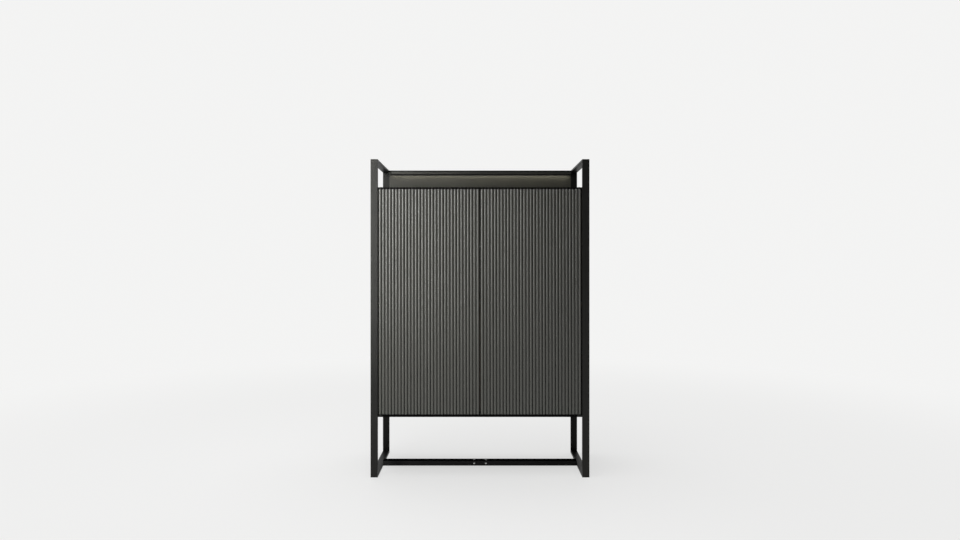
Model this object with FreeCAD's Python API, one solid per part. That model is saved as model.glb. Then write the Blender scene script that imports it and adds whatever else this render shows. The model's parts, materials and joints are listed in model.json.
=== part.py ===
"""Bar armoire: two flat-bar steel side frames that carry a cabinet with two reeded doors.

Millimetres. X runs across the front, Y from front to back and Z up.
The origin is on the floor, under the middle of the overall box.
"""

import FreeCAD, Part
import os
from math import cos, pi

Vector = FreeCAD.Vector

# Overall size
overall_width = 1006.0
overall_depth = 450.0
overall_height = 1463.0

# Side frames: flat bar, wide across the cabinet and thin in the plane of each loop
bar_width = 33.0
bar_thickness = 11.0

# Floor glides under the frame corners
glide_thickness = 0.5
glide_width = 22.0
glide_length = 60.0
glide_end_margin = 6.0

# Back rail between the rear posts, a little below their tops
back_rail_drop = 2.0
back_rail_depth = 30.0
back_rail_height = 18.0

# Floor stretcher: two lengths of rectangular tube over an inner sleeve
stretcher_height = 25.0
stretcher_depth = 40.0
stretcher_wall = 2.0
stretcher_forward = 14.0
stretcher_lift = 1.0
sleeve_length = 160.0
sleeve_wall = 3.0
sleeve_clearance = 0.2
stretcher_screw_offset = 28.5
stretcher_screw_setback = 14.0
stretcher_screw_radius = 2.5
stretcher_screw_length = 8.0
stretcher_head_radius = 4.5
stretcher_head_height = 1.6

# Cabinet heights: clear leg space below it and the open gallery above it
leg_height = 272.0
gallery_height = 126.5

# Boards of the cabinet box
side_panel_thickness = 18.0
side_panel_inset = 6.0
top_panel_thickness = 18.0
bottom_panel_thickness = 25.0
back_panel_thickness = 8.0
gallery_panel_thickness = 8.0

# Shelves, divider and mirror inside the box
lower_bay_height = 484.0
mid_shelf_thickness = 18.0
divider_thickness = 18.0
fixed_setback = 12.0
shelf_thickness = 18.0
glass_thickness = 8.0
shelf_side_gap = 1.0
shelf_front_setback = 25.0
shelf_rear_gap = 6.0
pin_radius = 2.5
pin_reach = 8.0
pin_web = 2.0
pin_seat_gap = 0.05
pin_end_distance = 55.0
mirror_thickness = 3.0
mirror_margin = 30.0

# Stemware rack under the top panel: T-shaped rails made of a web and a flange
stemware_rail_count = 6
stemware_slot = 28.0
stemware_flange_width = 50.0
stemware_flange_thickness = 6.0
stemware_web_width = 12.0
stemware_web_height = 30.0
stemware_front_setback = 75.0
stemware_rear_gap = 20.0

# Light channel under the back rail, with a diffuser set up between its two lips
channel_width = 12.0
channel_height = 5.5
channel_wall = 1.2
channel_end_gap = 8.0
channel_setback = 4.0
diffuser_thickness = 2.0
diffuser_clearance = 0.1

# Doors: solid boards with reeds worked down the front, as many as fit at about one pitch
door_recess = 3.0
door_thickness = 24.0
reed_height = 7.0
reed_pitch = 15.0
door_side_gap = 2.7
door_centre_gap = 4.8
door_top_reveal = 11.0
door_bottom_reveal = 17.0
door_back_gap = 3.0
door_rear_round = 5.0

# Door pivots: lugs on the front posts, pins, washers, and bushes in the door ends
pivot_inset = 10.0
pivot_setback = 12.0
pivot_gap = 3.0
pivot_pin_radius = 3.0
pivot_pin_engagement = 15.0
pivot_head_radius = 5.0
pivot_head_height = 3.0
bush_wall = 1.5
bush_length = 18.0
lug_thickness = 4.0
lug_radius = 10.0
washer_radius = 7.0
washer_play = 0.2
running_clearance = 0.05

# Push latches under the top panel, strike plates on the doors and door bumpers
latch_offset = 40.0
latch_width = 22.0
latch_height = 14.0
latch_length = 60.0
latch_setback = 2.0
plunger_radius = 4.0
plunger_length = 46.0
plunger_overrun = 8.0
strike_radius = 9.0
strike_thickness = 1.2
contact_gap = 0.3
bumper_radius = 3.0
bumper_offset = 85.0

# Dowels of the box joints
dowel_radius = 4.0
dowel_side_depth = 11.0
dowel_board_depth = 17.0
dowel_end_distance = 60.0
dowels_per_joint = 4
dowel_end_gap = 1.0

# Fixing tabs that join the box to the frame posts, and their screws
tab_thickness = 3.0
tab_length = 30.0
tab_height = 40.0
tab_end_distance = 110.0
tab_screw_spacing = 20.0
tab_screw_radius = 2.0
tab_screw_length = 15.0
tab_head_radius = 4.0
tab_head_height = 2.0

# Screws that hold the back panel and the gallery panel
back_screw_count = 5
back_screw_end_distance = 60.0
back_screw_radius = 1.75
back_screw_length = 26.0
back_head_radius = 3.5
back_head_height = 2.0

# Small play round every screw shank, dowel and shelf pin, and round the pressed bushes
fastener_clearance = 0.05

# Levels and planes worked out from the sizes above
half_width = overall_width / 2
inner_half = half_width - bar_width
front = -overall_depth / 2
rear = overall_depth / 2
front_post_back = front + bar_thickness
rear_post_front = rear - bar_thickness
frame_bottom = glide_thickness
rail_top = overall_height - back_rail_drop
rail_underside = rail_top - back_rail_height
stretcher_bottom = frame_bottom + stretcher_lift

carcass_top = overall_height - gallery_height
carcass_bottom = leg_height
top_underside = carcass_top - top_panel_thickness
floor_level = carcass_bottom + bottom_panel_thickness
mid_underside = floor_level + lower_bay_height
mid_level = mid_underside + mid_shelf_thickness
side_outer = half_width - side_panel_inset
side_inner = side_outer - side_panel_thickness

door_crest = front + door_recess
door_trough = door_crest + reed_height
door_back = door_crest + door_thickness
door_outer = inner_half - door_side_gap
door_inner = door_centre_gap / 2
reed_count = round((door_outer - door_inner) / reed_pitch)
door_bottom = carcass_bottom + door_bottom_reveal
door_top = carcass_top - door_top_reveal
carcass_front = door_back + door_back_gap
carcass_rear = rear_post_front
pivot_x = door_outer - pivot_inset
pivot_y = door_crest + pivot_setback
pin_depth = (divider_thickness - pin_web) / 2

SIDES = {"left": -1, "right": 1}

nodes = {}
cutters = {}


def block(x_limits, y_limits, z_limits):
    """A rectangular solid between pairs of limits, in either order."""
    low = Vector(min(x_limits), min(y_limits), min(z_limits))
    high = Vector(max(x_limits), max(y_limits), max(z_limits))
    size = high - low
    return Part.makeBox(size.x, size.y, size.z, low)


def rod(radius, start, end):
    """A round solid from one centre point to another."""
    axis = end - start
    return Part.makeCylinder(radius, axis.Length, start, axis)


def add(name, *solids):
    """Put solids into a named piece."""
    nodes.setdefault(name, []).extend(solids)


def drill(name, tool):
    """Note a shape that is cut out of a named piece."""
    cutters.setdefault(name, []).append(tool)


def spread(count, low, high):
    """Evenly spaced places from low to high, both included."""
    step = (high - low) / (count - 1)
    return [low + step * i for i in range(count)]


def screw(seat, inward, shank_radius, shank_length, head_radius, head_height):
    """A screw whose head sits on a face at seat and whose shank runs inward."""
    shank = rod(shank_radius, seat, seat + inward * shank_length)
    head = rod(head_radius, seat - inward * head_height, seat)
    rim = [e for e in head.Edges if abs((e.CenterOfMass - seat).dot(inward) + head_height) < head_height / 4]
    round_radius = head_height / 2
    head = head.makeFillet(round_radius, [e for e in rim if e.Closed and len(e.Vertexes) == 1])
    return head.fuse(shank).removeSplitter()


def screw_hole(seat, inward, shank_radius, shank_length):
    """The clearance hole for such a screw."""
    return rod(shank_radius + fastener_clearance, seat, seat + inward * (shank_length + fastener_clearance))


def make_side_frames():
    """Two rectangular loops of flat bar, each made of two posts and two rails."""
    for name, side in SIDES.items():
        across = (side * inner_half, side * half_width)
        full_height = (frame_bottom, overall_height)
        between_posts = (front_post_back, rear_post_front)
        add(f"{name}_front_post", block(across, (front, front_post_back), full_height))
        add(f"{name}_rear_post", block(across, (rear_post_front, rear), full_height))
        top_rail = (overall_height - bar_thickness, overall_height)
        add(f"{name}_top_rail", block(across, between_posts, top_rail))
        bottom_rail = (frame_bottom, frame_bottom + bar_thickness)
        add(f"{name}_bottom_rail", block(across, between_posts, bottom_rail))


def make_glides():
    """A thin pad under each frame corner."""
    middle = half_width - bar_width / 2
    for side in SIDES.values():
        across = (side * (middle - glide_width / 2), side * (middle + glide_width / 2))
        near = overall_depth / 2 - glide_end_margin
        for end in (-1, 1):
            along = (end * near, end * (near - glide_length))
            add("floor_glides", block(across, along, (0, glide_thickness)))


def make_back_rail():
    """The rail that joins the two frames at the top of the rear posts."""
    across = (-inner_half, inner_half)
    add("back_rail", block(across, (rear - back_rail_depth, rear), (rail_underside, rail_top)))


def make_stretcher():
    """Two tube lengths that meet over an inner sleeve, with a screw in the front and top of each."""
    middle_y = -stretcher_forward
    y_limits = (middle_y - stretcher_depth / 2, middle_y + stretcher_depth / 2)
    z_limits = (stretcher_bottom, stretcher_bottom + stretcher_height)

    def shrink(limits, amount):
        return (limits[0] + amount, limits[1] - amount)

    hollow_y = shrink(y_limits, stretcher_wall)
    hollow_z = shrink(z_limits, stretcher_wall)
    for name, side in SIDES.items():
        outer = block((0, side * inner_half), y_limits, z_limits)
        hollow = block((0, side * inner_half), hollow_y, hollow_z)
        add(f"stretcher_{name}", outer.cut(hollow))

    sleeve_y = shrink(hollow_y, sleeve_clearance)
    sleeve_z = shrink(hollow_z, sleeve_clearance)
    sleeve_x = (-sleeve_length / 2, sleeve_length / 2)
    core = block(sleeve_x, shrink(sleeve_y, sleeve_wall), shrink(sleeve_z, sleeve_wall))
    add("stretcher_sleeve", block(sleeve_x, sleeve_y, sleeve_z).cut(core))

    middle_z = stretcher_bottom + stretcher_height / 2
    for name, side in SIDES.items():
        x = side * stretcher_screw_offset
        front_seat = Vector(x, y_limits[0], middle_z)
        top_seat = Vector(x, y_limits[0] + stretcher_screw_setback, z_limits[1])
        for seat, inward in ((front_seat, Vector(0, 1, 0)), (top_seat, Vector(0, 0, -1))):
            shank = (stretcher_screw_radius, stretcher_screw_length)
            head = (stretcher_head_radius, stretcher_head_height)
            add("stretcher_screws", screw(seat, inward, *shank, *head))
            hole = screw_hole(seat, inward, *shank)
            drill(f"stretcher_{name}", hole)
            drill("stretcher_sleeve", hole)


def make_box():
    """The cabinet box: sides set inside the frame loops, with the boards between them."""
    full_height = (carcass_bottom, carcass_top)
    for name, side in SIDES.items():
        across = (side * side_inner, side * side_outer)
        add(f"{name}_side_panel", block(across, (front_post_back, rear_post_front), full_height))
    across = (-side_inner, side_inner)
    depth = (carcass_front, carcass_rear)
    add("top_panel", block(across, depth, (top_underside, carcass_top)))
    add("bottom_panel", block(across, depth, (carcass_bottom, floor_level)))
    fixed_depth = (carcass_front + fixed_setback, carcass_rear)
    add("mid_shelf", block(across, fixed_depth, (mid_underside, mid_level)))
    half_divider = divider_thickness / 2
    add("lower_divider", block((-half_divider, half_divider), fixed_depth, (floor_level, mid_underside)))

    between_posts = (-inner_half, inner_half)
    back_depth = (carcass_rear, carcass_rear + back_panel_thickness)
    add("back_panel", block(between_posts, back_depth, (carcass_bottom, top_underside)))
    gallery_depth = (carcass_rear, carcass_rear + gallery_panel_thickness)
    add("gallery_panel", block(between_posts, gallery_depth, (top_underside, rail_underside)))

    mirror_across = (-side_inner + mirror_margin, side_inner - mirror_margin)
    mirror_height = (mid_level + mirror_margin, top_underside - mirror_margin)
    add("bar_mirror", block(mirror_across, (carcass_rear - mirror_thickness, carcass_rear), mirror_height))


def make_dowels():
    """Dowels between each side panel and the ends of the three boards it carries."""
    places = spread(dowels_per_joint, carcass_front + dowel_end_distance, carcass_rear - dowel_end_distance)
    boards = {
        "top_panel": carcass_top - top_panel_thickness / 2,
        "bottom_panel": carcass_bottom + bottom_panel_thickness / 2,
        "mid_shelf": mid_level - mid_shelf_thickness / 2,
    }
    for name, side in SIDES.items():
        for board, z in boards.items():
            for y in places:
                inner = Vector(side * (side_inner - dowel_board_depth), y, z)
                outer = Vector(side * (side_inner + dowel_side_depth), y, z)
                add("carcass_dowels", rod(dowel_radius, inner, outer))
                end_room = Vector(side * dowel_end_gap, 0, 0)
                hole = rod(dowel_radius + fastener_clearance, inner - end_room, outer + end_room)
                drill(f"{name}_side_panel", hole)
                drill(board, hole)


def make_loose_shelves():
    """A glass shelf in the upper bay and a wooden one each side of the divider, on pins."""
    depth = (carcass_front + shelf_front_setback, carcass_rear - shelf_rear_gap)
    pin_places = (depth[0] + pin_end_distance, depth[1] - pin_end_distance)

    def pins(x, away, z, board):
        """Front and rear pins that stand out of a board's face at x towards away."""
        centre_z = z - pin_radius - pin_seat_gap
        for y in pin_places:
            root = Vector(x - away * pin_depth, y, centre_z)
            add("shelf_pins", rod(pin_radius, root, Vector(x + away * pin_reach, y, centre_z)))
            drill(board, rod(pin_radius + fastener_clearance, root, Vector(x, y, centre_z)))

    glass_z = (mid_level + top_underside) / 2
    glass_half = side_inner - shelf_side_gap
    add("glass_shelf", block((-glass_half, glass_half), depth, (glass_z, glass_z + glass_thickness)))
    shelf_z = (floor_level + mid_underside) / 2
    divider_face = divider_thickness / 2
    for name, side in SIDES.items():
        pins(side * side_inner, -side, glass_z, f"{name}_side_panel")
        pins(side * side_inner, -side, shelf_z, f"{name}_side_panel")
        pins(side * divider_face, side, shelf_z, "lower_divider")
        across = (side * (divider_face + shelf_side_gap), side * (side_inner - shelf_side_gap))
        add(f"lower_{name}_shelf", block(across, depth, (shelf_z, shelf_z + shelf_thickness)))


def make_stemware_rack():
    """A row of T-shaped rails; glasses hang by the foot in the slots between their flanges."""
    pitch = stemware_flange_width + stemware_slot
    reach = pitch * (stemware_rail_count - 1) / 2
    depth = (carcass_front + stemware_front_setback, carcass_rear - stemware_rear_gap)
    web_bottom = top_underside - stemware_web_height
    for x in spread(stemware_rail_count, -reach, reach):
        web = (x - stemware_web_width / 2, x + stemware_web_width / 2)
        add("stemware_webs", block(web, depth, (web_bottom, top_underside)))
        flange = (x - stemware_flange_width / 2, x + stemware_flange_width / 2)
        add("stemware_flanges", block(flange, depth, (web_bottom - stemware_flange_thickness, web_bottom)))


def make_gallery_light():
    """A slim channel under the back rail, open downwards, that holds a light diffuser."""
    half = inner_half - channel_end_gap
    near = rear - back_rail_depth + channel_setback
    depth = (near, near + channel_width)
    height = (rail_underside - channel_height, rail_underside)
    groove_depth = (depth[0] + channel_wall, depth[1] - channel_wall)
    groove_roof = rail_underside - channel_wall
    groove = block((-half, half), groove_depth, (height[0], groove_roof))
    add("light_channel", block((-half, half), depth, height).cut(groove))
    diffuser_depth = (groove_depth[0] + diffuser_clearance, groove_depth[1] - diffuser_clearance)
    diffuser_height = (groove_roof - diffuser_thickness, groove_roof)
    add("light_diffuser", block((-half, half), diffuser_depth, diffuser_height))


def door_outline(side):
    """Closed plan outline of a door: reeds along the front, a rounded rear corner at the pivot side."""
    step = (door_outer - door_inner) / reed_count

    def point(x, y):
        return Vector(side * x, y, door_bottom)

    edges = []
    for i in range(reed_count):
        start = door_outer - i * step
        crest = point(start - step / 2, door_crest)
        end = point(start - step, door_trough)
        edges.append(Part.Arc(point(start, door_trough), crest, end).toShape())
    round_inset = door_rear_round * (1 - cos(pi / 4))
    round_start = point(door_outer - door_rear_round, door_back)
    round_middle = point(door_outer - round_inset, door_back - round_inset)
    round_end = point(door_outer, door_back - door_rear_round)
    inner_back = point(door_inner, door_back)
    edges.append(Part.LineSegment(point(door_inner, door_trough), inner_back).toShape())
    edges.append(Part.LineSegment(inner_back, round_start).toShape())
    edges.append(Part.Arc(round_start, round_middle, round_end).toShape())
    edges.append(Part.LineSegment(round_end, point(door_outer, door_trough)).toShape())
    return Part.Wire(Part.__sortEdges__(edges))


def make_doors():
    """The two reeded doors and the strike plates on their backs."""
    latch_z = top_underside - latch_height / 2
    for name, side in SIDES.items():
        door = Part.Face(door_outline(side)).extrude(Vector(0, 0, door_top - door_bottom))
        add(f"{name}_door_panel", door)
        strike_centre = Vector(side * latch_offset, door_back, latch_z)
        strike_face = strike_centre + Vector(0, strike_thickness, 0)
        add(f"{name}_strike_plate", rod(strike_radius, strike_centre, strike_face))


def make_pivots():
    """Lugs on the front post above and below each door, with pins, washers and door bushes."""
    for name, side in SIDES.items():
        x = side * pivot_x
        for end, door_end in ((-1, door_bottom), (1, door_top)):

            def level(distance):
                """A point on the pivot axis, so far beyond the end of the door."""
                return Vector(x, pivot_y, door_end + end * distance)

            lug_far = pivot_gap + lug_thickness
            arm_depth = (pivot_y - lug_radius, pivot_y + lug_radius)
            arm_height = (level(pivot_gap).z, level(lug_far).z)
            arm = block((x, side * inner_half), arm_depth, arm_height)
            lug = arm.fuse(rod(lug_radius, level(pivot_gap), level(lug_far))).removeSplitter()
            shank = rod(pivot_pin_radius, level(-pivot_pin_engagement), level(lug_far))
            head = rod(pivot_head_radius, level(lug_far), level(lug_far + pivot_head_height))
            pin_hole = rod(pivot_pin_radius + fastener_clearance, level(0), level(lug_far))
            add(f"{name}_pivot_lugs", lug.cut(pin_hole))
            add(f"{name}_pivot_pins", shank.fuse(head).removeSplitter())

            washer = rod(washer_radius, level(washer_play), level(pivot_gap))
            washer_hole = rod(pivot_pin_radius + running_clearance, level(0), level(pivot_gap))
            add(f"{name}_pivot_washers", washer.cut(washer_hole))

            bush_radius = pivot_pin_radius + running_clearance + bush_wall
            bush = rod(bush_radius, level(-bush_length), level(0))
            bore = rod(pivot_pin_radius + running_clearance, level(-bush_length), level(0))
            add(f"{name}_pivot_bushes", bush.cut(bore))
            drill(f"{name}_door_panel", rod(bush_radius + fastener_clearance, level(-bush_length), level(0)))


def make_latches():
    """Push latches under the top panel: a body and a round plunger that meets the strike plate."""
    body_front = carcass_front + latch_setback
    body_depth = (body_front, body_front + latch_length)
    body_height = (top_underside - latch_height, top_underside)
    tip_y = door_back + strike_thickness + contact_gap
    z = top_underside - latch_height / 2
    for name, side in SIDES.items():
        x = side * latch_offset
        across = (x - latch_width / 2, x + latch_width / 2)
        bore_end = Vector(x, tip_y + plunger_length + plunger_overrun, z)
        bore = rod(plunger_radius + running_clearance, Vector(x, body_front, z), bore_end)
        add(f"{name}_latch_body", block(across, body_depth, body_height).cut(bore))
        tip = Vector(x, tip_y, z)
        add(f"{name}_latch_plunger", rod(plunger_radius, tip, tip + Vector(0, plunger_length, 0)))


def make_bumpers():
    """Soft dots on the front edges of the top and bottom panels, one pair behind each door."""
    lap_middles = ((top_underside + door_top) / 2, (door_bottom + floor_level) / 2)
    for side in SIDES.values():
        for z in lap_middles:
            seat = Vector(side * bumper_offset, carcass_front, z)
            face = Vector(side * bumper_offset, door_back + contact_gap, z)
            add("door_bumpers", rod(bumper_radius, seat, face))


def make_tabs():
    """Steel tabs from the frame posts along the inside of the side panels, each with two screws."""
    post_faces = ((front_post_back, 1), (rear_post_front, -1))
    heights = (carcass_bottom + tab_end_distance, carcass_top - tab_end_distance)
    for name, side in SIDES.items():
        across = (side * side_inner, side * (side_inner - tab_thickness))
        inward = Vector(side, 0, 0)
        for face_y, away in post_faces:
            tab_end = face_y + away * tab_length
            for z in heights:
                tab = block(across, (face_y, tab_end), (z - tab_height / 2, z + tab_height / 2))
                for z_step in (-tab_screw_spacing / 2, tab_screw_spacing / 2):
                    seat = Vector(side * (side_inner - tab_thickness), (face_y + tab_end) / 2, z + z_step)
                    shank = (tab_screw_radius, tab_screw_length)
                    add("tab_screws", screw(seat, inward, *shank, tab_head_radius, tab_head_height))
                    hole = screw_hole(seat, inward, *shank)
                    tab = tab.cut(hole)
                    drill(f"{name}_side_panel", hole)
                add("frame_tabs", tab)


def make_back_screws():
    """Rows of screws from behind into the rear edges of the top panel, middle shelf and bottom panel."""
    places = spread(back_screw_count, -inner_half + back_screw_end_distance, inner_half - back_screw_end_distance)
    gallery_back = carcass_rear + gallery_panel_thickness
    panel_back = carcass_rear + back_panel_thickness
    rows = (
        ("gallery_panel", "top_panel", gallery_back, carcass_top - top_panel_thickness / 2),
        ("back_panel", "mid_shelf", panel_back, mid_level - mid_shelf_thickness / 2),
        ("back_panel", "bottom_panel", panel_back, carcass_bottom + bottom_panel_thickness / 2),
    )
    inward = Vector(0, -1, 0)
    for sheet, board, seat_y, z in rows:
        for x in places:
            seat = Vector(x, seat_y, z)
            shank = (back_screw_radius, back_screw_length)
            add("back_screws", screw(seat, inward, *shank, back_head_radius, back_head_height))
            hole = screw_hole(seat, inward, *shank)
            drill(sheet, hole)
            drill(board, hole)


def finished(name):
    """The solids of a piece with its holes cut."""
    solids = nodes[name]
    if name in cutters:
        tools = Part.makeCompound(cutters[name])
        solids = [part for solid in solids for part in solid.cut(tools).Solids]
    return solids


def main():
    make_side_frames()
    make_glides()
    make_back_rail()
    make_stretcher()
    make_box()
    make_dowels()
    make_loose_shelves()
    make_stemware_rack()
    make_gallery_light()
    make_doors()
    make_pivots()
    make_latches()
    make_bumpers()
    make_tabs()
    make_back_screws()
    os.makedirs("parts", exist_ok=True)
    for name in nodes:
        solids = finished(name)
        shape = solids[0] if len(solids) == 1 else Part.makeCompound(solids)
        shape.exportStep(f"parts/{name}.step")


main()
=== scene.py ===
import json
from math import atan2, cos, pi, radians, sin

import bmesh
import bpy
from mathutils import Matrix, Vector


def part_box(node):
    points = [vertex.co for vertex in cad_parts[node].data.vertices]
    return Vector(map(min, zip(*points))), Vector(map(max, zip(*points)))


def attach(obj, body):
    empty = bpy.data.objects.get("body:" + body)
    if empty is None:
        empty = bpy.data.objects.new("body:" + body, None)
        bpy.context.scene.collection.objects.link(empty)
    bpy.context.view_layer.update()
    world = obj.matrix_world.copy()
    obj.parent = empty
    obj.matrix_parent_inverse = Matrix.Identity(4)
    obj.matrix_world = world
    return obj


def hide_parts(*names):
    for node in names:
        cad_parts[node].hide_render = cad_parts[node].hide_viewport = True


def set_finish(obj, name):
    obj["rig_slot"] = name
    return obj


# Looks for a bar armoire: two black flat-bar side frames around a cabinet with two reeded doors.
# Metres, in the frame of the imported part. MM turns the part's millimetres into metres.

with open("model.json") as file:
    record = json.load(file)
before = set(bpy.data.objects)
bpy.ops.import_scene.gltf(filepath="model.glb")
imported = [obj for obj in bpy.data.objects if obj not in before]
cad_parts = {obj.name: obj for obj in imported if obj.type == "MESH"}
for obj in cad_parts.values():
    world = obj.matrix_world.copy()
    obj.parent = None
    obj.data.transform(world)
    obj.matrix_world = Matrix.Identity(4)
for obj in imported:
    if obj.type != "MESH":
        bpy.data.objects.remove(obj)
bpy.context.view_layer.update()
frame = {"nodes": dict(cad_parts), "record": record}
nodes = frame["nodes"]
MM = 0.001
SIDES = {"left": -1, "right": 1}

# Eased edges
BAR_EASE = 0.8 * MM
BOARD_EASE = 0.8 * MM
GLASS_EASE = 1.2 * MM
GLIDE_EASE = 0.15 * MM
EASE_STEPS = 3
EASE_PROFILE = 0.5
SHARP_ANGLE = radians(35)
WELD_DISTANCE = 0.01 * MM
FACE_WEIGHT = 100

# Reeded doors
REED_COUNT = 31
HALF_REED = 0.5
REED_STEPS = 16
REED_HEIGHT = 7 * MM
REAR_ROUND = 5 * MM
REAR_ROUND_STEPS = 6
DOOR_END_ROUND = 1.6 * MM
DOOR_END_STEPS = 4
BUSH_PLAY = 0.05 * MM
BUSH_DEPTH = 18 * MM
BUSH_STEPS = 32

# Stretcher tubes
TUBE_ROUND = 3 * MM
TUBE_WALL = 2 * MM
TUBE_CORNER_STEPS = 6
SEAM_EASE = 0.5 * MM

# Screws
STRETCHER_SCREW = {
    "head": 4.5 * MM, "height": 1.6 * MM, "shank": 2.5 * MM, "length": 8 * MM, "socket": 1.5 * MM,
}
TAB_SCREW = {
    "head": 4 * MM, "height": 2 * MM, "shank": 2 * MM, "length": 15 * MM, "socket": 1.9 * MM,
}
BACK_SCREW = {
    "head": 3.5 * MM, "height": 2 * MM, "shank": 1.75 * MM, "length": 26 * MM, "socket": 1.7 * MM,
}
STRETCHER_SCREW_OFFSET = 28.5 * MM
STRETCHER_SCREW_SETBACK = 14 * MM
TAB_LENGTH = 30 * MM
TAB_THICKNESS = 3 * MM
TAB_SCREW_SPACING = 20 * MM
TAB_END_DISTANCE = 110 * MM
BACK_SCREW_COUNT = 5
BACK_SCREW_END = 60 * MM
SCREW_STEPS = 36
DOME_STEPS = 5

# Screw heads, as shares of the head's radius, the head's height or the socket's size
HEAD_FLAT = 0.56
HEAD_RIM = 0.3
HEAD_DOME = 0.68
SOCKET_MOUTH = 1.06
SOCKET_LIP = 0.94
SOCKET_TAPER = 0.94
SOCKET_FLOOR = 0.3
CROSS_ARM = 0.3
LEAST_SINE = 0.001

# Push latches
LATCH_ROUND = 3 * MM
LATCH_EASE = 1 * MM
LATCH_STEPS = 40
LATCH_BORE = 4.05 * MM
LATCH_COLLAR = 5.4 * MM
LATCH_DIMPLE = 0.8 * MM

# Light diffuser
DIFFUSER_STEPS = 6
DIFFUSER_CROWN = 0.6 * MM
DIFFUSER_LENGTHS = 60


# Mesh tools

def piece_from(mesh, name, body, slot, replaced):
    """Turn a bmesh into a named piece that rides on a body and stands for some nodes."""
    bmesh.ops.recalc_face_normals(mesh, faces=mesh.faces)
    data = bpy.data.meshes.new(name)
    mesh.to_mesh(data)
    mesh.free()
    data.shade_smooth()
    data.set_sharp_from_angle(angle=SHARP_ANGLE)
    made = bpy.data.objects.new(name, data)
    bpy.context.scene.collection.objects.link(made)
    normals = made.modifiers.new("normals", "WEIGHTED_NORMAL")
    normals.keep_sharp = True
    normals.weight = FACE_WEIGHT
    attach(made, body)
    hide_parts(*replaced)
    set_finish(made, slot)
    return made


def ring(mesh, points):
    """Vertices at a list of points."""
    return [mesh.verts.new(point) for point in points]


def rim(mesh, vertices):
    """The edges round a closed ring, made where they are missing."""
    pairs = zip(vertices, vertices[1:] + vertices[:1])
    return [mesh.edges.get(pair) or mesh.edges.new(pair) for pair in pairs]


def loft(mesh, rings, close_start=True, close_end=True):
    """Join closed rings of equally many vertices with faces, and cap the ends."""
    for first, second in zip(rings, rings[1:]):
        count = len(first)
        for i in range(count):
            j = (i + 1) % count
            mesh.faces.new((first[i], first[j], second[j], second[i]))
    if close_start:
        mesh.faces.new(list(reversed(rings[0])))
    if close_end:
        mesh.faces.new(rings[-1])


def ease_sharp_edges(mesh, width):
    """Round every edge whose faces meet at a sharp angle."""
    mesh.normal_update()
    joined = [edge for edge in mesh.edges if len(edge.link_faces) == 2]
    sharp = [edge for edge in joined if edge.calc_face_angle() > SHARP_ANGLE]
    bmesh.ops.bevel(
        mesh, geom=sharp, offset=width, offset_type="OFFSET", segments=EASE_STEPS,
        profile=EASE_PROFILE, affect="EDGES", clamp_overlap=True,
    )


def whole_box(*names):
    """Lowest and highest corners of several nodes together."""
    boxes = [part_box(name) for name in names]
    low = Vector([min(box[0][i] for box in boxes) for i in range(3)])
    high = Vector([max(box[1][i] for box in boxes) for i in range(3)])
    return low, high


def spread(count, low, high):
    """Evenly spaced places from low to high, both included."""
    return [low + (high - low) * i / (count - 1) for i in range(count)]


def around(count):
    """Evenly spaced angles of one full turn."""
    return [2 * pi * i / count for i in range(count)]


# Frame loops: posts and rails welded and ground to one ring of flat bar on each side

def make_frame_loop(side):
    members = [f"{side}_{part}" for part in ("front_post", "rear_post", "top_rail", "bottom_rail")]
    low, high = whole_box(*members)
    rail_low, rail_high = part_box(f"{side}_top_rail")
    bar = rail_high.z - rail_low.z
    mesh = bmesh.new()
    loops = {}
    for x in (low.x, high.x):
        for inset in (0, bar):
            corners = (
                (low.y + inset, low.z + inset), (high.y - inset, low.z + inset),
                (high.y - inset, high.z - inset), (low.y + inset, high.z - inset),
            )
            loops[x, inset] = ring(mesh, [(x, y, z) for y, z in corners])
    circuit = [loops[low.x, 0], loops[high.x, 0], loops[high.x, bar], loops[low.x, bar]]
    loft(mesh, circuit + circuit[:1], close_start=False, close_end=False)
    ease_sharp_edges(mesh, BAR_EASE)
    return piece_from(mesh, f"{side}_frame_loop", "cabinet", "frame_steel", members)


# Doors: reeds along the front, a rounded rear corner at the pivot side, eased ends, bush holes

def door_plan(low, high, sign):
    """Plan points of a door from its pivot side, with the direction each one moves in to ease an end."""
    outer, inner = (low.x, high.x) if sign < 0 else (high.x, low.x)
    pitch = (inner - outer) / REED_COUNT
    half = abs(pitch) / 2
    radius = (half * half + REED_HEIGHT * REED_HEIGHT) / (2 * REED_HEIGHT)
    reach = atan2(half, radius - REED_HEIGHT)
    toward = 1 if pitch > 0 else -1
    points = []
    for i in range(REED_COUNT):
        middle = outer + pitch * (i + HALF_REED)
        for angle in spread(REED_STEPS + 1, -reach, reach)[:-1]:
            x = middle + toward * radius * sin(angle)
            y = low.y + radius - radius * cos(angle)
            points.append((x, y, 0, 1))
    trough = low.y + REED_HEIGHT
    points.append((inner, trough, -toward, 1))
    points.append((inner, high.y, -toward, -1))
    for angle in spread(REAR_ROUND_STEPS + 1, 0, pi / 2):
        x = outer + toward * REAR_ROUND * (1 - sin(angle))
        y = high.y - REAR_ROUND * (1 - cos(angle))
        points.append((x, y, toward * sin(angle), -cos(angle)))
    return points


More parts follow.
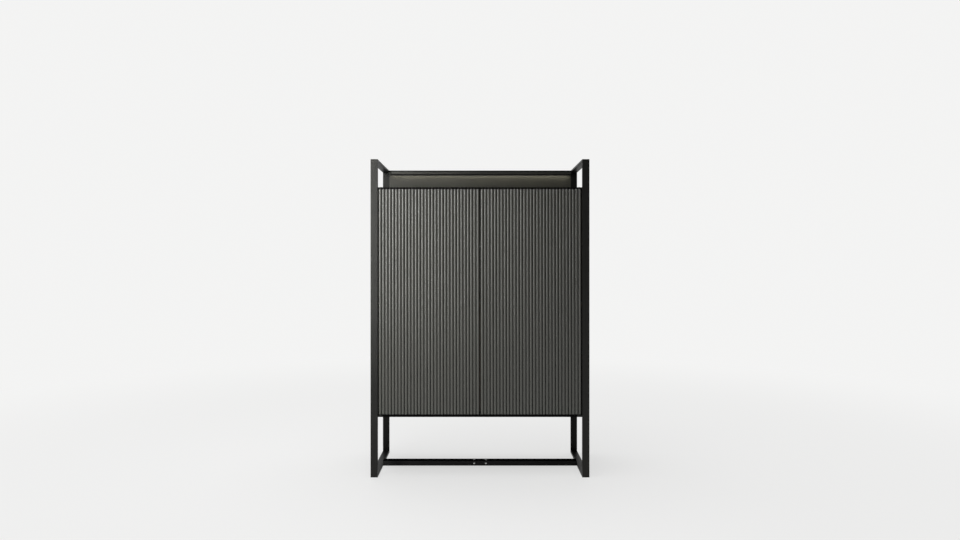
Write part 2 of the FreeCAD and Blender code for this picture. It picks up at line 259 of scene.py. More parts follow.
def make_door(side):
    node = f"{side}_door_panel"
    low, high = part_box(node)
    plan = door_plan(low, high, SIDES[side])
    mesh = bmesh.new()
    turns = spread(DOOR_END_STEPS + 1, 0, pi / 2)
    rounding = [(DOOR_END_ROUND * (1 - sin(turn)), DOOR_END_ROUND * (1 - cos(turn))) for turn in turns]
    levels = [(low.z + rise, ease) for ease, rise in rounding]
    levels += [(high.z - rise, ease) for ease, rise in reversed(rounding)]
    rings = []
    for z, ease in levels:
        rings.append(ring(mesh, [(x + dx * ease, y + dy * ease, z) for x, y, dx, dy in plan]))
    loft(mesh, rings, close_start=False, close_end=False)
    bush_low, bush_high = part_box(f"{side}_pivot_bushes")
    bush = (bush_low + bush_high) / 2
    bush_radius = (bush_high.x - bush_low.x) / 2 + BUSH_PLAY
    spots = [(bush.x + bush_radius * cos(a), bush.y + bush_radius * sin(a)) for a in around(BUSH_STEPS)]
    for end_ring, inward in ((rings[0], 1), (rings[-1], -1)):
        z = end_ring[0].co.z
        mouth = ring(mesh, [(x, y, z) for x, y in spots])
        bottom = ring(mesh, [(x, y, z + inward * BUSH_DEPTH) for x, y in spots])
        loft(mesh, [mouth, bottom], close_start=False)
        rims = rim(mesh, end_ring) + rim(mesh, mouth)
        bmesh.ops.triangle_fill(mesh, edges=rims, use_beauty=True, use_dissolve=False)
    return piece_from(mesh, f"{side}_door_skin", f"{side}_door", "door_lacquer", [node])


# Stretcher tubes: rounded rectangular tube, eased where the two lengths meet

def make_stretcher(side):
    node = f"stretcher_{side}"
    low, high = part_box(node)
    seam, end = (high.x, low.x) if side == "left" else (low.x, high.x)
    outward = 1 if end > seam else -1
    middle = (low + high) / 2
    mesh = bmesh.new()

    def section(x, inset, radius):
        half_y = (high.y - low.y) / 2 - inset - radius
        half_z = (high.z - low.z) / 2 - inset - radius
        points = []
        for i, (sign_y, sign_z) in enumerate(((1, 1), (-1, 1), (-1, -1), (1, -1))):
            for angle in spread(TUBE_CORNER_STEPS + 1, i * pi / 2, (i + 1) * pi / 2):
                y = middle.y + sign_y * half_y + radius * cos(angle)
                z = middle.z + sign_z * half_z + radius * sin(angle)
                points.append((x, y, z))
        return ring(mesh, points)

    inner_round = TUBE_ROUND - TUBE_WALL
    rings = [
        section(end, 0, TUBE_ROUND), section(seam + outward * SEAM_EASE, 0, TUBE_ROUND),
        section(seam, SEAM_EASE, TUBE_ROUND - SEAM_EASE), section(seam, TUBE_WALL, inner_round),
        section(end, TUBE_WALL, inner_round),
    ]
    loft(mesh, rings + rings[:1], close_start=False, close_end=False)
    return piece_from(mesh, f"stretcher_tube_{side}", "cabinet", "frame_steel", [node])


# Screws: a domed head with a six-sided or a cross-shaped socket, and a plain shank

def hex_socket(size, angle):
    """Distance from the middle to a six-sided socket's wall at an angle."""
    folded = (angle % (pi / 3)) - pi / 6
    return size / cos(folded)


def cross_socket(size, angle):
    """Distance from the middle to a cross socket's wall at an angle."""
    folded = angle % (pi / 2)
    folded = min(folded, pi / 2 - folded)
    return min(size, size * CROSS_ARM / max(sin(folded), LEAST_SINE))


def add_screw(mesh, seat, inward, sizes, socket):
    """One screw with its head on a face at seat."""
    axis = Vector(inward)
    across = axis.orthogonal().normalized()
    along = axis.cross(across)
    head, height, shank = sizes["head"], sizes["height"], sizes["shank"]
    angles = around(SCREW_STEPS)

    def section(radii, rise):
        centre = Vector(seat) - axis * rise
        return ring(mesh, [centre + (across * cos(a) + along * sin(a)) * r for a, r in zip(angles, radii)])

    def circle(radius, rise):
        return section([radius] * SCREW_STEPS, rise)

    def socket_ring(share, rise):
        return section([socket(sizes["socket"], a) * share for a in angles], rise)

    rings = [circle(shank, -sizes["length"]), circle(shank, 0)]
    rings += [circle(head, 0), circle(head, height * HEAD_RIM)]
    for turn in spread(DOME_STEPS + 1, 0, pi / 2)[1:-1]:
        radius = head * (HEAD_FLAT + (1 - HEAD_FLAT) * cos(turn))
        rings.append(circle(radius, height * (HEAD_RIM + HEAD_DOME * sin(turn))))
    rings += [circle(head * HEAD_FLAT, height), socket_ring(SOCKET_MOUTH, height)]
    rings += [socket_ring(1, height * SOCKET_LIP), socket_ring(SOCKET_TAPER, height * SOCKET_FLOOR)]
    loft(mesh, rings)


def make_stretcher_screws():
    mesh = bmesh.new()
    low, high = whole_box("stretcher_left", "stretcher_right")
    middle = (low + high) / 2
    for sign in SIDES.values():
        x = sign * STRETCHER_SCREW_OFFSET
        front_seat = (x, low.y, middle.z)
        top_seat = (x, low.y + STRETCHER_SCREW_SETBACK, high.z)
        add_screw(mesh, front_seat, (0, 1, 0), STRETCHER_SCREW, hex_socket)
        add_screw(mesh, top_seat, (0, 0, -1), STRETCHER_SCREW, hex_socket)
    return piece_from(mesh, "stretcher_socket_screws", "cabinet", "bright_steel", ["stretcher_screws"])


def make_tab_screws():
    mesh = bmesh.new()
    low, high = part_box("frame_tabs")
    box_low, box_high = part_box("left_side_panel")
    for sign in SIDES.values():
        face = sign * (high.x - TAB_THICKNESS)
        for y in (low.y + TAB_LENGTH / 2, high.y - TAB_LENGTH / 2):
            for middle in (box_low.z + TAB_END_DISTANCE, box_high.z - TAB_END_DISTANCE):
                for step in (-TAB_SCREW_SPACING / 2, TAB_SCREW_SPACING / 2):
                    add_screw(mesh, (face, y, middle + step), (sign, 0, 0), TAB_SCREW, cross_socket)
    return piece_from(mesh, "tab_cross_screws", "cabinet", "zinc_steel", ["tab_screws"])


def make_back_screws():
    mesh = bmesh.new()
    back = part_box("back_panel")[1]
    reach = back.x - BACK_SCREW_END
    for board in ("top_panel", "mid_shelf", "bottom_panel"):
        board_low, board_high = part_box(board)
        for x in spread(BACK_SCREW_COUNT, -reach, reach):
            seat = (x, back.y, (board_low.z + board_high.z) / 2)
            add_screw(mesh, seat, (0, -1, 0), BACK_SCREW, cross_socket)
    return piece_from(mesh, "back_cross_screws", "cabinet", "zinc_steel", ["back_screws"])


# Push latches: a rounded housing with a dished mouth round the plunger

def make_latch(side):
    node = f"{side}_latch_body"
    low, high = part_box(node)
    centre = (low + high) / 2
    corner_x = (high.x - low.x) / 2 - LATCH_ROUND
    corner_z = (high.z - low.z) / 2 - LATCH_ROUND
    mesh = bmesh.new()
    angles = around(LATCH_STEPS)

    def round_box(y, inset):
        points = []
        for a in angles:
            x = (corner_x if cos(a) > 0 else -corner_x) + (LATCH_ROUND - inset) * cos(a)
            z = (corner_z if sin(a) > 0 else -corner_z) + (LATCH_ROUND - inset) * sin(a)
            points.append((centre.x + x, y, centre.z + z))
        return ring(mesh, points)

    def circle(y, radius):
        return ring(mesh, [(centre.x + radius * cos(a), y, centre.z + radius * sin(a)) for a in angles])

    rings = [
        round_box(high.y, LATCH_EASE), round_box(high.y - LATCH_EASE, 0),
        round_box(low.y + LATCH_EASE, 0), round_box(low.y, LATCH_EASE),
        circle(low.y, LATCH_COLLAR), circle(low.y + LATCH_DIMPLE, LATCH_BORE),
        circle(high.y - 2 * LATCH_EASE, LATCH_BORE),
    ]
    loft(mesh, rings)
    return piece_from(mesh, f"{side}_latch_housing", "cabinet", "black_plastic", [node])


# Light diffuser: a strip with a slightly crowned underside, in short lengths

def make_diffuser():
    low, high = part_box("light_diffuser")
    profile = [(high.y, high.z), (low.y, high.z)]
    for share in spread(DIFFUSER_STEPS + 1, 0, 1):
        y = low.y + (high.y - low.y) * share
        profile.append((y, low.z + DIFFUSER_CROWN * (2 * share - 1) ** 2))
    mesh = bmesh.new()
    stations = spread(DIFFUSER_LENGTHS + 1, low.x, high.x)
    loft(mesh, [ring(mesh, [(x, y, z) for y, z in profile]) for x in stations])
    return piece_from(mesh, "diffuser_strip", "cabinet", "diffuser", ["light_diffuser"])


# Eased edges on plain nodes

def ease_node(name, width):
    """Weld a node's split corners and round its edges with modifiers."""
    weld = nodes[name].modifiers.new("weld", "WELD")
    weld.merge_threshold = WELD_DISTANCE
    ease = nodes[name].modifiers.new("ease", "BEVEL")
    ease.width = width
    ease.segments = EASE_STEPS
    ease.limit_method = "ANGLE"
    ease.angle_limit = SHARP_ANGLE
    ease.harden_normals = True


# Material tools

MIX_FACTOR = 0
MIX_FIRST = 6
MIX_SECOND = 7
MIX_RESULT = 2


def start_material(name):
    """A new material with its tree and shader."""
    material = bpy.data.materials.new(name)
    material.use_nodes = True
    return material, material.node_tree, material.node_tree.nodes["Principled BSDF"]


def give(tree, socket, value):
    """Link a socket to another one or set its value."""
    if isinstance(value, bpy.types.NodeSocket):
        tree.links.new(value, socket)
    else:
        socket.default_value = value


def fill(tree, made, **inputs):
    """Give values or links to a node's inputs. An underscore stands for a space in a name."""
    for key, value in inputs.items():
        give(tree, made.inputs[key.replace("_", " ")], value)


def put(tree, kind, settings=None, **inputs):
    """A new node, with settings on the node and values or links on its inputs."""
    made = tree.nodes.new(kind)
    for key, value in (settings or {}).items():
        setattr(made, key, value)
    fill(tree, made, **inputs)
    return made


def object_place(tree):
    """Object coordinates along X, Y and Z."""
    coordinates = put(tree, "ShaderNodeTexCoord").outputs["Object"]
    return put(tree, "ShaderNodeSeparateXYZ", Vector=coordinates).outputs


def stretched(tree, stretch):
    """Object coordinates, stretched for a grain direction."""
    coordinates = put(tree, "ShaderNodeTexCoord").outputs["Object"]
    return put(tree, "ShaderNodeMapping", Vector=coordinates, Scale=stretch).outputs[0]


def noise(tree, stretch, scale, detail=3.0, roughness=0.55, distortion=0.0):
    """Noise over stretched coordinates, from 0 to 1."""
    made = put(
        tree, "ShaderNodeTexNoise", Vector=stretched(tree, stretch), Scale=scale, Detail=detail,
        Roughness=roughness, Distortion=distortion,
    )
    return made.outputs["Fac"]


def remap(tree, value, low, high, to_low, to_high, kind="LINEAR"):
    """A value moved from one range to another and held inside it."""
    made = put(
        tree, "ShaderNodeMapRange", {"interpolation_type": kind}, Value=value,
        From_Min=low, From_Max=high, To_Min=to_low, To_Max=to_high,
    )
    return made.outputs["Result"]


def calculate(tree, operation, first, second=0):
    """The result of a sum on one or two values."""
    made = put(tree, "ShaderNodeMath", {"operation": operation})
    give(tree, made.inputs[0], first)
    give(tree, made.inputs[1], second)
    return made.outputs[0]


def weighted(tree, *parts):
    """The sum of several values, each times its share."""
    shares = [calculate(tree, "MULTIPLY", value, share) for value, share in parts]
    total = shares[0]
    for share in shares[1:]:
        total = calculate(tree, "ADD", total, share)
    return total


def ramp(tree, value, low, high, dark, light):
    """A colour that goes from dark to light while a value goes from low to high."""
    made = put(tree, "ShaderNodeValToRGB", Fac=value)
    for element, place, colour in zip(made.color_ramp.elements, (low, high), (dark, light)):
        element.position = place
        element.color = (*colour, 1)
    return made.outputs["Color"]


def blend(tree, amount, first, second):
    """A mix of two colours."""
    made = put(tree, "ShaderNodeMix", {"data_type": "RGBA"})
    give(tree, made.inputs[MIX_FACTOR], amount)
    give(tree, made.inputs[MIX_FIRST], first)
    give(tree, made.inputs[MIX_SECOND], second)
    return made.outputs[MIX_RESULT]


def bump(tree, height, depth, normal=None):
    """A normal that follows a height of some depth, on top of another normal if one is given."""
    made = put(tree, "ShaderNodeBump", Height=height, Strength=1.0, Distance=depth)
    if normal is not None:
        fill(tree, made, Normal=normal)
    return made.outputs["Normal"]


def upward(tree):
    """How far a face looks up, from -1 to 1."""
    outward = put(tree, "ShaderNodeNewGeometry").outputs["Normal"]
    return put(tree, "ShaderNodeSeparateXYZ", Vector=outward).outputs["Z"]


# Rubbed edges: where a rounded normal turns away from the face's own
EDGE_RADIUS = 1.2 * MM
EDGE_SAMPLES = 4
EDGE_FLAT = 0.99
EDGE_TURNED = 0.8


def edge_mask(tree):
    """A mask of the edges, and the rounded normal that it comes from."""
    rounded = put(tree, "ShaderNodeBevel", {"samples": EDGE_SAMPLES}, Radius=EDGE_RADIUS).outputs[0]
    flat = put(tree, "ShaderNodeNewGeometry").outputs["Normal"]
    match = put(tree, "ShaderNodeVectorMath", {"operation": "DOT_PRODUCT"})
    give(tree, match.inputs[0], rounded)
    give(tree, match.inputs[1], flat)
    return remap(tree, match.outputs["Value"], EDGE_FLAT, EDGE_TURNED, 0, 1), rounded


# Coated finishes
GRAIN_ROUGHNESS = 0.6
COAT_CLOUD_SCALE = 7.0
COAT_CLOUD_SHARE = 0.3
COAT_RANGE = (0.36, 0.64)
PATCH_RANGE = (0.4, 0.65)
PATCH_LEAST = 0.25
EVEN = (1, 1, 1)


def coated(name, dark, light, roughness, grain, depth, stretch=EVEN, metallic=0.0, specular=0.5,
           glancing=1.0, spread_roughness=0.06, edge=None, edge_amount=0.5, shade_band=None):
    """A finish with clouding and a fine grain in its colour, roughness and height.

    Its edges can be rubbed to another colour. A shade band paints shade in a darker colour by place along
    an axis, and glancing is the share of its reflection that stays where it is seen from the side.
    """
    material, tree, shader = start_material(name)
    cloud = noise(tree, EVEN, COAT_CLOUD_SCALE)
    fine = noise(tree, stretch, grain, detail=4.0, roughness=GRAIN_ROUGHNESS)
    mixed = weighted(tree, (cloud, COAT_CLOUD_SHARE), (fine, 1 - COAT_CLOUD_SHARE))
    colour = ramp(tree, mixed, *COAT_RANGE, dark, light)
    normal = None
    if edge is not None:
        mask, normal = edge_mask(tree)
        patchy = calculate(tree, "MULTIPLY", mask, remap(tree, cloud, *PATCH_RANGE, PATCH_LEAST, 1))
        colour = blend(tree, calculate(tree, "MULTIPLY", patchy, edge_amount), colour, (*edge, 1))
    # painted shade: a shade band blends in a darker colour by place along an axis
    if shade_band is not None:
        axis, begins, full, shade_colour = shade_band
        amount = remap(tree, object_place(tree)[axis], begins, full, 0, 1)
        colour = blend(tree, amount, colour, (*shade_colour, 1))
    smooth, rough = roughness - spread_roughness, roughness + spread_roughness
    fill(
        tree, shader, Base_Color=colour, Roughness=remap(tree, mixed, *COAT_RANGE, smooth, rough),
        Normal=bump(tree, fine, depth, normal), Metallic=metallic, Specular_IOR_Level=specular,
        Specular_Tint=(glancing, glancing, glancing, 1),
    )
    return material


# Timber
BAND_ACROSS = 9.0
BAND_ALONG = 0.7
BAND_FOLDS = 6.0
BAND_SCALE = 1.6
BAND_DISTORTION = 1.4
BAND_SHARE = 0.6
PORE_ACROSS = 260.0
PORE_ALONG = 9.0
PORE_DEPTH = 0.12 * MM
TIMBER_RANGE = (0.2, 0.8)
TIMBER_EDGE_AMOUNT = 0.35
TIMBER_ROUGHER = 0.08
TIMBER_SMOOTHER = 0.06


def along_grain(axis, across, along):
    """A stretch with one scale along the grain's axis and another across it."""
    return [along if i == axis else across for i in range(3)]


def timber(name, grain_axis, dark, light, roughness, edge):
    """Wood with growth bands, fine pores and rubbed edges, its grain along one axis."""
    material, tree, shader = start_material(name)
    band_stretch = along_grain(grain_axis, BAND_ACROSS, BAND_ALONG)
    waves = noise(tree, band_stretch, BAND_SCALE, detail=5.0, distortion=BAND_DISTORTION)
    bands = calculate(tree, "PINGPONG", calculate(tree, "MULTIPLY", waves, BAND_FOLDS), 1.0)
    pore_stretch = along_grain(grain_axis, PORE_ACROSS, PORE_ALONG)
    pores = noise(tree, pore_stretch, 1.0, roughness=GRAIN_ROUGHNESS)
    grain = weighted(tree, (bands, BAND_SHARE), (pores, 1 - BAND_SHARE))
    colour = ramp(tree, grain, *TIMBER_RANGE, dark, light)
    mask, normal = edge_mask(tree)
    colour = blend(tree, calculate(tree, "MULTIPLY", mask, TIMBER_EDGE_AMOUNT), colour, (*edge, 1))
    rough, smooth = roughness + TIMBER_ROUGHER, roughness - TIMBER_SMOOTHER
    fill(
        tree, shader, Base_Color=colour, Normal=bump(tree, pores, PORE_DEPTH, normal),
        Roughness=remap(tree, grain, *TIMBER_RANGE, rough, smooth),
    )
    return material


# Door lacquer
DOOR_GRAIN = (1800, 1800, 9)
DOOR_GRAIN_DEPTH = 0.0005 * MM
DOOR_GRAIN_SHARE = 0.35
DOOR_CLOUD = (6, 6, 3)
DOOR_CLOUD_SHARE = 0.5
DOOR_TONE_SHARE = 0.15
DOOR_RANGE = (0.3, 0.7)
DOOR_ROUGHNESS_SPREAD = 0.02
DOOR_COAT = 0.35
DOOR_COAT_ROUGHNESS = 0.28
GROOVE_START = 0.26
GROOVE_SHADE_AMOUNT = 0.85
GROOVE_SHADE = 0.3
END_START = 2.2 * MM
END_FULL = 1.4 * MM
END_PAINTED_SHADE = (0.004, 0.004, 0.0035, 1)


def door_finish(name, dark, light, roughness):
    """Satin lacquer over upright grain, each reed a little different in tone.

    Shade is painted into the grooves, and the upper and lower ends are painted near-black as shade.
    """
    material, tree, shader = start_material(name)
    low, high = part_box("right_door_panel")
    place = object_place(tree)
    across = calculate(tree, "SUBTRACT", calculate(tree, "ABSOLUTE", place["X"]), low.x)
    reeds = calculate(tree, "DIVIDE", across, (high.x - low.x) / REED_COUNT)
    tone = put(
        tree, "ShaderNodeTexWhiteNoise", {"noise_dimensions": "1D"}, W=calculate(tree, "FLOOR", reeds),
    )
    grain = noise(tree, DOOR_GRAIN, 1.0, roughness=GRAIN_ROUGHNESS)
    cloud = noise(tree, DOOR_CLOUD, 1.0)
    mixed = weighted(
        tree, (grain, DOOR_GRAIN_SHARE), (cloud, DOOR_CLOUD_SHARE),
        (tone.outputs["Value"], DOOR_TONE_SHARE),
    )
    colour = ramp(tree, mixed, *DOOR_RANGE, dark, light)

    # painted shade: the grooves between the reeds are darkened on the front
    off_crest = calculate(tree, "SUBTRACT", calculate(tree, "FRACT", reeds), HALF_REED)
    off_crest = calculate(tree, "ABSOLUTE", off_crest)
    groove = remap(tree, off_crest, GROOVE_START, HALF_REED, 0, GROOVE_SHADE_AMOUNT)
    trough = low.y + REED_HEIGHT
    on_front = remap(tree, place["Y"], trough, trough + REED_HEIGHT, 1, 0)
    groove_shade_colour = [part * GROOVE_SHADE for part in dark]
    colour = blend(tree, calculate(tree, "MULTIPLY", groove, on_front), colour, (*groove_shade_colour, 1))

    # painted shade: the upper and lower ends of the doors are near-black, standing in for the shade in the
    # gaps at the carcass
    upper_end_shade = remap(tree, place["Z"], high.z - END_START, high.z - END_FULL, 0, 1)
    lower_end_shade = remap(tree, place["Z"], low.z + END_START, low.z + END_FULL, 0, 1)
    colour = blend(tree, calculate(tree, "MAXIMUM", upper_end_shade, lower_end_shade), colour, END_PAINTED_SHADE)
    rough, smooth = roughness + DOOR_ROUGHNESS_SPREAD, roughness - DOOR_ROUGHNESS_SPREAD
    fill(
        tree, shader, Base_Color=colour, Roughness=remap(tree, mixed, *DOOR_RANGE, rough, smooth),
        Normal=bump(tree, grain, DOOR_GRAIN_DEPTH), Coat_Weight=DOOR_COAT,
        Coat_Roughness=DOOR_COAT_ROUGHNESS,
    )
    return material


# Glass and light
SMEAR_STRETCH = (14, 30, 14)
SMEAR_RANGE = (0.4, 0.75)
SMEAR_ROUGHNESS = 0.06
GLASS_INDEX = 1.5
FROST_SCALE = 900.0
FROST_RANGE = (0.3, 0.7)
FROST_DARK = (0.72, 0.72, 0.7)
FROST_LIGHT = (0.86, 0.86, 0.84)
FROST_DEPTH = 0.05 * MM
FROST_ROUGHNESS = 0.6
UNDERSIDE = (-0.6, -0.9)
BLACK = (0, 0, 0, 1)


def glass(name, tint):
    """Clear glass with faint smears in its gloss."""
    material, tree, shader = start_material(name)
    smear = noise(tree, SMEAR_STRETCH, 1.0, detail=4.0)
    fill(
        tree, shader, Base_Color=(*tint, 1), Roughness=remap(tree, smear, *SMEAR_RANGE, 0, SMEAR_ROUGHNESS),
        Transmission_Weight=1.0, IOR=GLASS_INDEX,
    )
    return material


def glowing(name, colour, strength):
    """A frosted strip that gives light from its underside."""
    material, tree, shader = start_material(name)
    frost = noise(tree, EVEN, FROST_SCALE, detail=2.0)
    under = remap(tree, upward(tree), *UNDERSIDE, 0, 1)
    fill(
        tree, shader, Base_Color=ramp(tree, frost, *FROST_RANGE, FROST_DARK, FROST_LIGHT),
        Roughness=FROST_ROUGHNESS, Normal=bump(tree, frost, FROST_DEPTH),
        Emission_Color=blend(tree, under, BLACK, (*colour, 1)), Emission_Strength=strength,
    )
    return material


# Finishes, and the distances at which their bands of painted shade begin or end

REAR_SHADE = 200 * MM
RAIL_TOP_SHADE = 11 * MM
RAIL_LIP = 1 * MM
FRONT_EDGE_SHADE = 1 * MM
CARCASS_GRAIN_ACROSS = 420
CARCASS_GRAIN_ALONG = 9
tube_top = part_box("stretcher_left")[1].z
rail_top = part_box("back_rail")[1].z
carcass_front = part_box("top_panel")[0].y

finishes = {
    # painted shade: the frames are painted darker toward the back, standing in for the shade that falls on
    # the rear posts
    "frame_steel": coated(
        "blackened_steel", (0.027, 0.027, 0.0252), (0.035, 0.035, 0.0328), roughness=0.42, grain=1500.0,
        depth=0.01 * MM, metallic=0.85, specular=0.0, glancing=0.75, edge=(0.09, 0.09, 0.086),
        edge_amount=0.25, shade_band=("Y", 0, REAR_SHADE, (0.015, 0.015, 0.014)),
    ),
    # painted light and shade: the back rail is a lighter copy of the frame steel where light falls, with
    # painted shade along its top edge
    "rail_steel_painted_light": coated(
        "blackened_rail_painted_light", (0.04, 0.04, 0.0363), (0.05, 0.05, 0.0456), roughness=0.42, grain=1500.0,
        depth=0.01 * MM, metallic=0.85, specular=0.0, glancing=0.4,
        shade_band=("Z", rail_top - RAIL_TOP_SHADE, rail_top - RAIL_LIP, (0.006, 0.006, 0.006)),
    ),
    # black anodised channel, kept near-black so that its lip under the back rail also paints the shade line
    # there
    "channel_black_and_shade": coated(
        "black_anodised", (0.004, 0.004, 0.004), (0.007, 0.007, 0.007), roughness=0.6, grain=1500.0,
        depth=0.01 * MM, specular=0.1,
    ),
    # painted shade: the stretcher's top is near-black, standing in for the shade of the cabinet above it
    "stretcher_matte": coated(
        "matte_black_coat", (0.021, 0.021, 0.021), (0.031, 0.031, 0.0305), roughness=0.9, grain=1700.0,
        depth=0.02 * MM, specular=0.0,
        shade_band=("Z", tube_top - TUBE_ROUND, tube_top - TUBE_ROUND / 4, (0.003, 0.003, 0.003)),
    ),
    "door_lacquer": door_finish(
        "olive_grey_lacquer", (0.0605, 0.0612, 0.052), (0.07, 0.0708, 0.0605), roughness=0.36,
    ),
    "gallery_bronze": coated(
        "olive_bronze_lacquer", (0.019, 0.0186, 0.014), (0.023, 0.0225, 0.017), roughness=0.5, grain=1.0,
        depth=0.0002 * MM, stretch=(10, 300, 420), specular=0.3, spread_roughness=0.01,
    ),
    "dowel_beech": timber(
        "beech", 0, (0.42, 0.27, 0.16), (0.55, 0.38, 0.24), roughness=0.55, edge=(0.6, 0.44, 0.3),
    ),
    "shelf_glass": glass("clear_glass", (0.9, 0.96, 0.94)),
    "mirror_glass": coated(
        "smoked_mirror", (0.32, 0.31, 0.295), (0.34, 0.33, 0.312), roughness=0.035, grain=25.0,
        depth=0.0001 * MM, metallic=1.0, spread_roughness=0.015,
    ),
    "bright_steel": coated(
        "polished_steel", (0.42, 0.42, 0.42), (0.52, 0.52, 0.51), roughness=0.24, grain=900.0,
        depth=0.01 * MM, metallic=1.0,
    ),
    "zinc_steel": coated(
        "zinc_plate", (0.4, 0.41, 0.43), (0.56, 0.57, 0.58), roughness=0.38, grain=260.0,
        depth=0.02 * MM, metallic=1.0, edge=(0.7, 0.7, 0.7),
    ),
    "bush_brass": coated(
        "turned_brass", (0.5, 0.34, 0.13), (0.68, 0.5, 0.22), roughness=0.3, grain=1.0,
        depth=0.01 * MM, stretch=(300, 300, 2500), metallic=1.0,
    ),
    "black_plastic": coated(
        "black_moulding", (0.012, 0.012, 0.012), (0.02, 0.02, 0.02), roughness=0.5, grain=1800.0,
        depth=0.03 * MM, edge=(0.05, 0.05, 0.05),
    ),
    "grey_plastic": coated(
        "grey_moulding", (0.16, 0.16, 0.16), (0.2, 0.2, 0.2), roughness=0.48, grain=1800.0,
        depth=0.03 * MM, edge=(0.27, 0.27, 0.27),
    ),
    "diffuser": glowing("light_diffuser", (1.0, 0.95, 0.82), 22.0),
    "glide_felt": coated(
        "dark_felt", (0.02, 0.02, 0.02), (0.05, 0.05, 0.05), roughness=0.95, grain=2200.0,
        depth=0.25 * MM, specular=0.1, spread_roughness=0.04,
    ),
    "bumper_rubber": coated(
        "soft_rubber", (0.3, 0.3, 0.29), (0.38, 0.38, 0.37), roughness=0.6, grain=1200.0,
        depth=0.03 * MM,
    ),
}
carcass_lacquers = []
interior_woods = []
for i, axis in enumerate("xyz"):
    # painted shade: the front edges of the carcass boards are near-black, standing in for the shadow gaps
    # above and below the doors
    carcass_lacquers.append(coated(
        f"dark_olive_lacquer_{i}", (0.036, 0.0363, 0.0325), (0.052, 0.0524, 0.0473), roughness=0.45,
        grain=1.0, depth=0.01 * MM, stretch=along_grain(i, CARCASS_GRAIN_ACROSS, CARCASS_GRAIN_ALONG),
        specular=0.04, edge=(0.075, 0.0755, 0.069),
        shade_band=("Y", carcass_front + 2 * FRONT_EDGE_SHADE, carcass_front + FRONT_EDGE_SHADE, (0.002, 0.002, 0.0018)),
    ))
    interior_woods.append(timber(
        f"smoked_oak_{axis}", i, (0.085, 0.052, 0.031), (0.2, 0.13, 0.08), roughness=0.42,
        edge=(0.26, 0.175, 0.11),
    ))


def longest_axis(name):
    """The axis that a node is longest along, where its grain runs."""
    low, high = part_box(name)
    size = high - low
    return max(range(3), key=lambda i: size[i])


def wear(piece, material):
    """Give a piece one material."""
    piece.data.materials.clear()
    piece.data.materials.append(material)


# Build the pieces that stand for nodes

new_pieces = [make_stretcher_screws(), make_tab_screws(), make_back_screws(), make_diffuser()]
for side in SIDES:
    new_pieces += [make_frame_loop(side), make_door(side), make_latch(side)]
for made in new_pieces:
    wear(made, finishes[made["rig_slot"]])
for side in SIDES:
    wear(make_stretcher(side), finishes["stretcher_matte"])

# Dress the nodes that stay

NODE_FINISHES = {"back_rail": "rail_steel_painted_light", "light_channel": "channel_black_and_shade"}
EASED_NODES = {
    "back_rail": BOARD_EASE, "lower_left_shelf": BOARD_EASE, "lower_right_shelf": BOARD_EASE,
    "stemware_webs": BOARD_EASE, "stemware_flanges": BOARD_EASE, "bar_mirror": BOARD_EASE,
    "glass_shelf": GLASS_EASE, "floor_glides": GLIDE_EASE,
}
node_slots = {part["node"]: part["material_slot"] for part in frame["record"]["subparts"]}
for name, node in nodes.items():
    slot = node_slots[name]
    if slot == "interior_wood":
        wear(node, interior_woods[longest_axis(name)])
    elif slot == "carcass_lacquer":
        wear(node, carcass_lacquers[longest_axis(name)])
    else:
        wear(node, finishes[NODE_FINISHES.get(name, slot)])
for name, width in EASED_NODES.items():
    ease_node(name, width)


# Floor: pale and lit near the object, and as bright as the background farther away

FLOOR_HALF = 9.0
FLOOR_PALE = (0.8, 0.8, 0.8, 1)
FLOOR_NEAR = 0.5
FLOOR_FAR = 4.2
FLOOR_FLAT_NEAR = 0.69
BACKGROUND = (0.9, 0.9, 0.895, 1)


def mix_to_output(tree, kind, amount, first, second):
    """Mix two shaders into a new output."""
    mix = put(tree, "ShaderNodeMixShader", Fac=amount)
    give(tree, mix.inputs[1], first.outputs[0])
    give(tree, mix.inputs[2], second.outputs[0])
    put(tree, kind, Surface=mix.outputs[0])


def seen_rays(tree):
    """One for camera, glossy and transmission rays, nought for light that bounces."""
    path = put(tree, "ShaderNodeLightPath").outputs
    either = calculate(tree, "MAXIMUM", path["Is Camera Ray"], path["Is Glossy Ray"])
    return calculate(tree, "MAXIMUM", either, path["Is Transmission Ray"])


def make_floor():
    mesh = bmesh.new()
    corners = ((-1, -1), (1, -1), (1, 1), (-1, 1))
    mesh.faces.new(ring(mesh, [(x * FLOOR_HALF, y * FLOOR_HALF, 0) for x, y in corners]))
    data = bpy.data.meshes.new("floor")
    mesh.to_mesh(data)
    mesh.free()
    made = bpy.data.objects.new("floor", data)
    bpy.context.scene.collection.objects.link(made)
    material, tree = start_material("pale_floor")[:2]
    tree.nodes.clear()
    coordinates = put(tree, "ShaderNodeTexCoord").outputs["Object"]
    away = put(tree, "ShaderNodeVectorMath", {"operation": "LENGTH"})
    give(tree, away.inputs[0], coordinates)
    distance = away.outputs["Value"]
    flatness = remap(tree, distance, FLOOR_NEAR, FLOOR_FAR, FLOOR_FLAT_NEAR, 1, "SMOOTHSTEP")
    amount = calculate(tree, "MULTIPLY", flatness, seen_rays(tree))
    lit = put(tree, "ShaderNodeBsdfDiffuse", Color=FLOOR_PALE)
    flat = put(tree, "ShaderNodeEmission", Color=BACKGROUND, Strength=1.0)
    mix_to_output(tree, "ShaderNodeOutputMaterial", amount, lit, flat)
    wear(made, material)
    return made


# World: the ranges are of a direction's backward part

ROOM = (0.06, 0.06, 0.06, 1)
BACKDROP = (0.62, 0.62, 0.62, 1)
BACKDROP_RANGE = (-0.2, 0.4)
MIRRORED_RANGE = (0.2, 0.8)


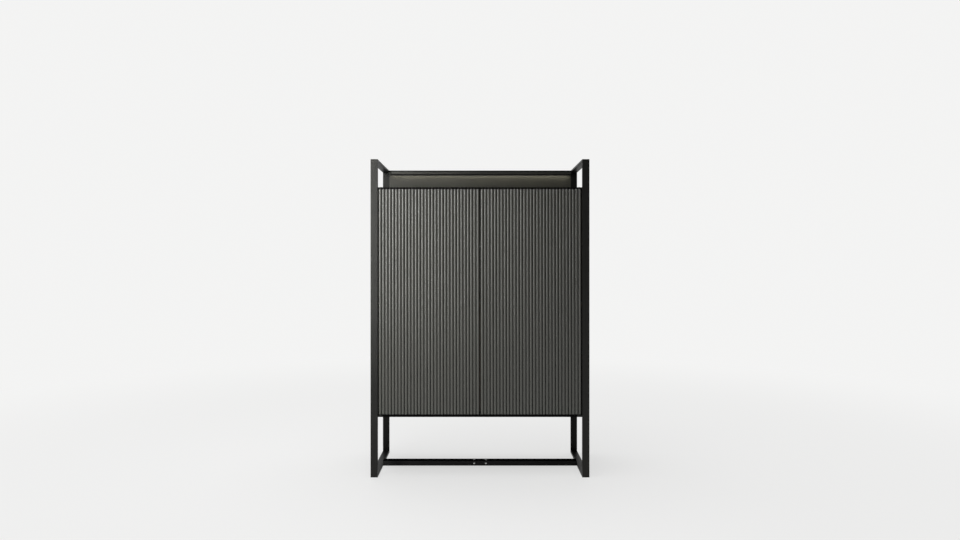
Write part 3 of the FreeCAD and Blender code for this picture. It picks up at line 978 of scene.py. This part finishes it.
def make_world():
    """A pale background for what the camera and clear glass see.

    Light and reflections come from a pale backdrop behind the object and a dim room in front.
    """
    world = bpy.data.worlds.new("studio")
    world.use_nodes = True
    tree = world.node_tree
    tree.nodes.clear()
    direction = put(tree, "ShaderNodeTexCoord").outputs["Generated"]
    backward = put(tree, "ShaderNodeSeparateXYZ", Vector=direction).outputs["Y"]
    path = put(tree, "ShaderNodeLightPath").outputs
    light = blend(tree, remap(tree, backward, *BACKDROP_RANGE, 0, 1), ROOM, BACKDROP)
    mirrored = blend(tree, remap(tree, backward, *MIRRORED_RANGE, 0, 1), ROOM, BACKGROUND)
    colour = blend(tree, path["Is Glossy Ray"], light, mirrored)
    around_object = put(tree, "ShaderNodeBackground", Color=colour, Strength=1.0)
    pale = put(tree, "ShaderNodeBackground", Color=BACKGROUND, Strength=1.0)
    seen = calculate(tree, "MAXIMUM", path["Is Camera Ray"], path["Is Transmission Ray"])
    mix_to_output(tree, "ShaderNodeOutputWorld", seen, around_object, pale)
    bpy.context.scene.world = world


# Lamps: the two on the left leave the floor to the ones overhead

LAMPS = {
    "key": {
        "place": (-1.15, -1.55, 1.54), "target": (-0.68, -0.2, 1.3), "size": (0.5, 1.9),
        "power": 9.5, "spread_angle": 76, "lights_floor": False,
    },
    "side": {
        "place": (-1.5, -1.0, 1.75), "target": (-0.8, -0.2, 1.4), "size": (0.35, 1.5),
        "power": 4.6, "spread_angle": 84, "lights_floor": False,
    },
    "overhead": {
        "place": (-0.6, 0.3, 4.2), "target": (-0.1, 0.2, 0), "size": (3.2, 3.2),
        "power": 112.0, "spread_angle": 180, "lights_floor": True,
    },
    "overhead_front": {
        "place": (-0.6, -1.6, 3.6), "target": (-0.2, -0.8, 0), "size": (2.0, 1.6),
        "power": 36.0, "spread_angle": 180, "lights_floor": True,
    },
}


def make_lamp(name, floor, place, target, size, power, spread_angle, lights_floor):
    data = bpy.data.lights.new(name, "AREA")
    data.shape = "RECTANGLE"
    data.size, data.size_y = size
    data.energy = power
    data.spread = radians(spread_angle)
    lamp = bpy.data.objects.new(name, data)
    lamp.location = place
    lamp.rotation_euler = (Vector(target) - Vector(place)).to_track_quat("-Z", "Y").to_euler()
    bpy.context.scene.collection.objects.link(lamp)
    if not lights_floor:
        spared = bpy.data.collections.new(f"{name}_spares")
        spared.objects.link(floor)
        spared.collection_objects[0].light_linking.link_state = "EXCLUDE"
        lamp.light_linking.receiver_collection = spared


# Camera at the photograph's viewing angle

LENS = 28.0
SENSOR = 36.0
FRAME_WIDTH = 960
HORIZON_RISE = 10.1
EYE = (0.0, -3.655, 1.0)


def make_camera():
    data = bpy.data.cameras.new("eye")
    data.lens = LENS
    data.sensor_width = SENSOR
    data.shift_y = -HORIZON_RISE / FRAME_WIDTH
    camera = bpy.data.objects.new("eye", data)
    camera.location = EYE
    camera.rotation_euler = (pi / 2, 0, 0)
    bpy.context.scene.collection.objects.link(camera)
    bpy.context.scene.camera = camera


floor = make_floor()
make_world()
for name, settings in LAMPS.items():
    make_lamp(name, floor, **settings)
make_camera()
bpy.context.scene.view_settings.view_transform = "Standard"
